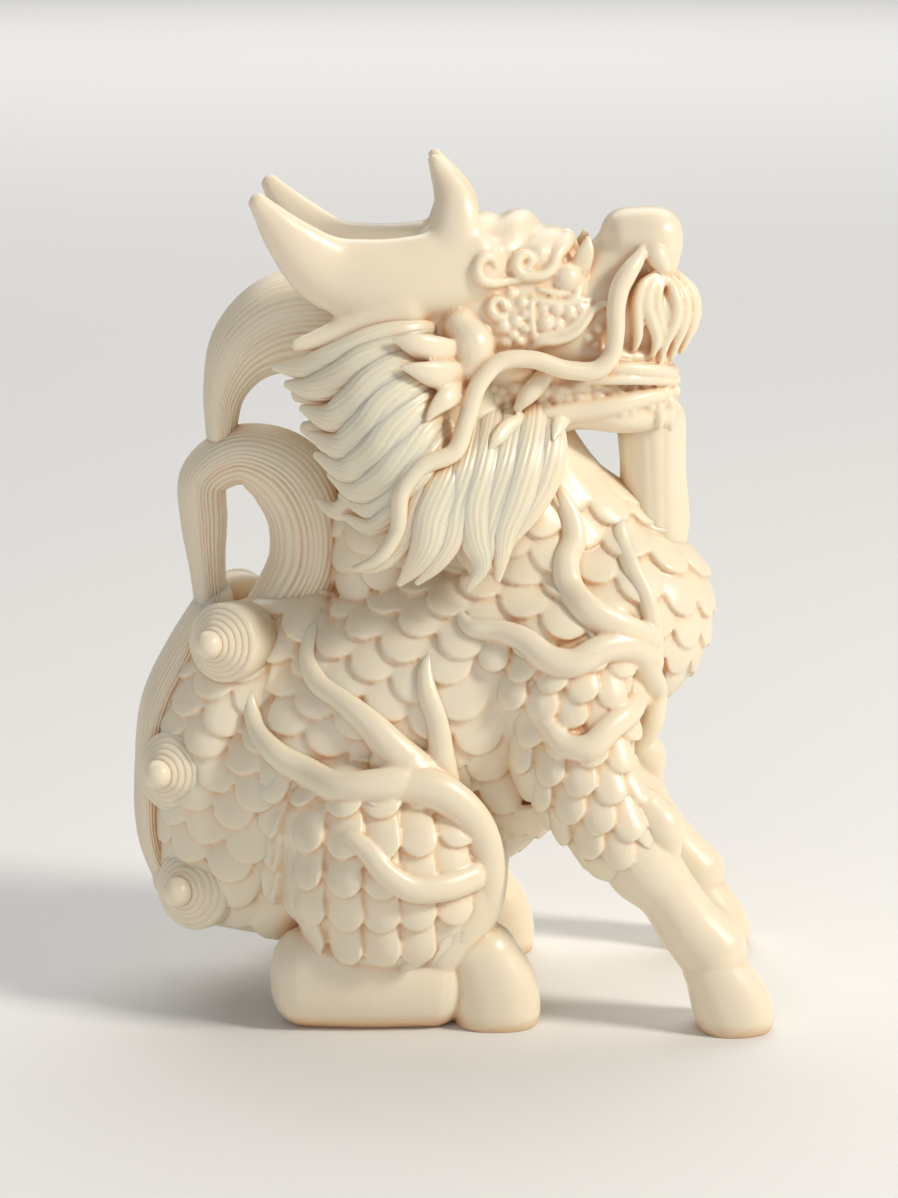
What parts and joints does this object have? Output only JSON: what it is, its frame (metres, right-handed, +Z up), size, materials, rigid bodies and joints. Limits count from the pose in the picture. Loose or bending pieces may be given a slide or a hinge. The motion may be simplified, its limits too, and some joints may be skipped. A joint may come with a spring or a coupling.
{
  "type": "chinese dragon figurine",
  "caption": "Seated dragon figurine carved in one piece: antlers, flowing mane, scaled body with flame crests, ring-shaped tail tuft and cloven hooves, standing on its own feet.",
  "frame": {"origin": "on the ground plane, under the centre of the figure's box", "axes": "+X is the way the animal faces, +Y is its left side, +Z is up"},
  "size_m": [0.0813, 0.0506, 0.1086],
  "materials": {
    "ivory": "polished ivory-coloured resin or nut ivory, satin gloss, warmer in the hollows"
  },
  "bodies": {
    "root": {"dragon_figurine": "ivory"}
  },
  "joints": []
}
